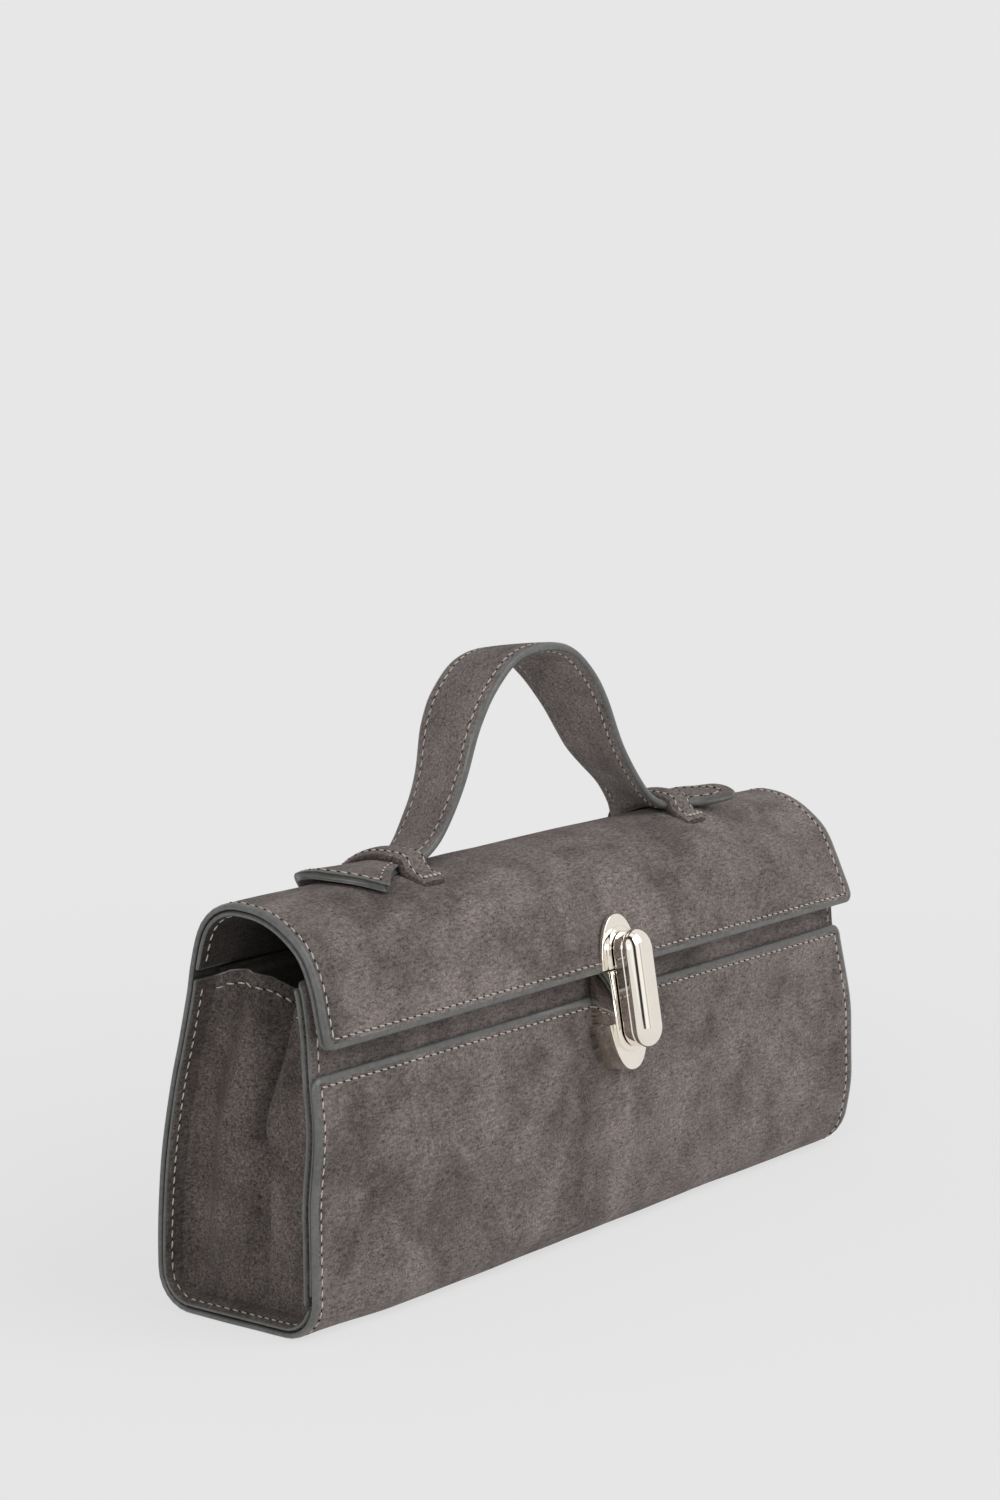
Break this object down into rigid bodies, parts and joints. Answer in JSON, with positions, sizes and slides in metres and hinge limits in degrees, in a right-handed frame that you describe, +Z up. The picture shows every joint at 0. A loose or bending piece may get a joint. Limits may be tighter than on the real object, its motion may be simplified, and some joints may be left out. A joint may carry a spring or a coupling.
{
  "type": "handbag",
  "caption": "Structured suede handbag with a curved front flap, a turn lock, pleated end gussets and an arched strap handle that slides through keeper loops.",
  "frame": {"origin": "centre of the flat base, on the surface the bag stands on", "axes": "+X along the bag's length, -Y out of the front with the lock, +Z up"},
  "size_m": [0.27, 0.0796, 0.1815],
  "materials": {
    "suede": "matt suede with a fine nap, painted edges and pale stitching",
    "gusset_suede": "matt suede in a darker tone",
    "lining": "matt dark suede",
    "board": "bonded leather board",
    "lock_metal": "polished pale nickel",
    "plain_metal": "plain nickel plate"
  },
  "bodies": {
    "body": {"body_wrap": "suede", "front_panel": "suede", "base_board": "board", "back_board": "board", "front_board": "board", "lining": "lining", "gusset_left": "gusset_suede", "gusset_right": "gusset_suede", "gusset_lining_left": "lining", "gusset_lining_right": "lining", "lock_body": "lock_metal", "lock_spring_washer": "plain_metal", "lock_backing_plate": "plain_metal", "lock_screws": "plain_metal"},
    "flap": {"flap_outer": "suede", "flap_lining": "lining", "keeper_loop_left": "suede", "keeper_loop_right": "suede", "flap_plate": "lock_metal", "flap_plate_backing": "plain_metal", "flap_plate_rivets": "plain_metal", "handle_leg_left": "suede", "handle_leg_right": "suede"},
    "knob": {"lock_knob": "lock_metal", "lock_post": "lock_metal", "lock_retaining_washer": "plain_metal"},
    "grip": {"handle_grip_outer_ply": "suede", "handle_grip_inner_ply": "lining"},
    "tab_left": {"handle_tab_left": "suede"},
    "tab_right": {"handle_tab_right": "suede"}
  },
  "joints": [
    {"name": "flap_hinge", "type": "hinge", "parent": "body", "child": "flap", "pos_m": [0, 0.0183, 0.09701], "axis": [-1, 0, 0], "range_deg": [0, 120]},
    {"name": "lock_turn", "type": "hinge", "parent": "body", "child": "knob", "pos_m": [0, -0.03475, 0.07795], "axis": [0, -0.986, 0.1668], "range_deg": [0, 90]},
    {"name": "handle_drop", "type": "slide", "parent": "flap", "child": "grip", "axis": [0, 0, -1], "range_m": [0, 0.013], "deforming": ["handle_leg_left", "handle_leg_right"]},
    {"name": "tab_slide_left", "type": "slide", "parent": "flap", "child": "tab_left", "axis": [-1, 0, 0], "range_m": [0, 0.008]},
    {"name": "tab_slide_right", "type": "slide", "parent": "flap", "child": "tab_right", "axis": [1, 0, 0], "range_m": [0, 0.008]}
  ],
  "couplings": [
    {"joint": "tab_slide_left", "follows": "handle_drop", "ratio": 0.615},
    {"joint": "tab_slide_right", "follows": "handle_drop", "ratio": 0.615}
  ]
}
